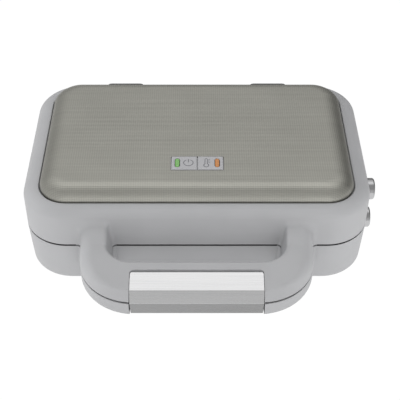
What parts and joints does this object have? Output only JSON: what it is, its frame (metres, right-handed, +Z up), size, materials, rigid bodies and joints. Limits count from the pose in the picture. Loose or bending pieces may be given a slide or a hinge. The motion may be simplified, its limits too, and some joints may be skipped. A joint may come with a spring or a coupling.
{
  "type": "sandwich maker",
  "caption": "Tabletop sandwich maker: hinged lid with textured metal panel, U-shaped handle with latch clip, indicator lenses, side release buttons, cut-and-seal plates.",
  "frame": {"origin": "centre of the bounding box's footprint, on the surface the feet stand on", "axes": "+X to the right along the long side, +Y from the handle towards the hinges, +Z up"},
  "size_m": [0.273, 0.2434, 0.096],
  "materials": {
    "housing": "fine satin",
    "panel": "fine embossed texture",
    "clip": "satin",
    "button": "satin chrome",
    "plate_coating": "dark non-stick coating",
    "pressed_sheet": "bright pressed sheet",
    "element": "heat-tinted sheath",
    "dark_plastic": "fine matt",
    "steel": "plain",
    "rubber": "matt",
    "ceramic": "plain",
    "lamp_glass": "clear",
    "board": "circuit board",
    "bezel": "satin",
    "green_lens": "translucent",
    "amber_lens": "translucent"
  },
  "bodies": {
    "base": {"base_housing": "housing", "lower_handle_cover": "dark_plastic", "base_plate_frame": "dark_plastic", "lower_reflector": "pressed_sheet", "lower_element": "element", "lower_plate": "plate_coating", "base_release_spring": "steel", "cord_gland": "rubber", "terminal_block": "ceramic", "thermostat": "ceramic", "hinge_bracket_left": "dark_plastic", "hinge_bracket_right": "dark_plastic", "hinge_pin_left": "steel", "hinge_pin_right": "steel", "foot_front_left": "rubber", "foot_rear_left": "rubber", "foot_front_right": "rubber", "foot_rear_right": "rubber", "base_screw_front_left": "steel", "base_screw_rear_left": "steel", "base_screw_front_right": "steel", "base_screw_rear_right": "steel"},
    "lid": {"lid_housing": "housing", "upper_handle_cover": "dark_plastic", "lid_panel": "panel", "lid_plate_frame": "dark_plastic", "upper_reflector": "pressed_sheet", "upper_element": "element", "upper_plate": "plate_coating", "lid_release_spring": "steel", "indicator_bezel": "bezel", "power_lens": "green_lens", "ready_lens": "amber_lens", "indicator_board": "board", "power_lamp": "lamp_glass", "ready_lamp": "lamp_glass", "thermal_fuse": "ceramic", "hinge_arm_left": "dark_plastic", "hinge_arm_right": "dark_plastic", "latch_pin": "steel", "lid_screw_front_left": "steel", "lid_screw_rear_left": "steel", "lid_screw_front_right": "steel", "lid_screw_rear_right": "steel"},
    "latch": {"latch_clip": "clip"},
    "lid_release": {"lid_release_button": "button", "lid_release_slider": "dark_plastic"},
    "base_release": {"base_release_button": "button", "base_release_slider": "dark_plastic"}
  },
  "joints": [
    {"name": "lid_hinge", "type": "hinge", "parent": "base", "child": "lid", "pos_m": [-0.00325, 0.11375, 0.052], "axis": [-1, 0, 0], "range_deg": [0, 100]},
    {"name": "latch_hinge", "type": "hinge", "parent": "lid", "child": "latch", "pos_m": [-0.00325, -0.10189, 0.0581], "axis": [-1, 0, 0], "range_deg": [0, 55]},
    {"name": "lid_release_press", "type": "slide", "parent": "lid", "child": "lid_release", "axis": [-1, 0, 0], "range_m": [0, 0.003], "stiffness_N_per_m": 400, "deforming": ["lid_release_spring"]},
    {"name": "base_release_press", "type": "slide", "parent": "base", "child": "base_release", "axis": [-1, 0, 0], "range_m": [0, 0.003], "stiffness_N_per_m": 400, "deforming": ["base_release_spring"]}
  ]
}
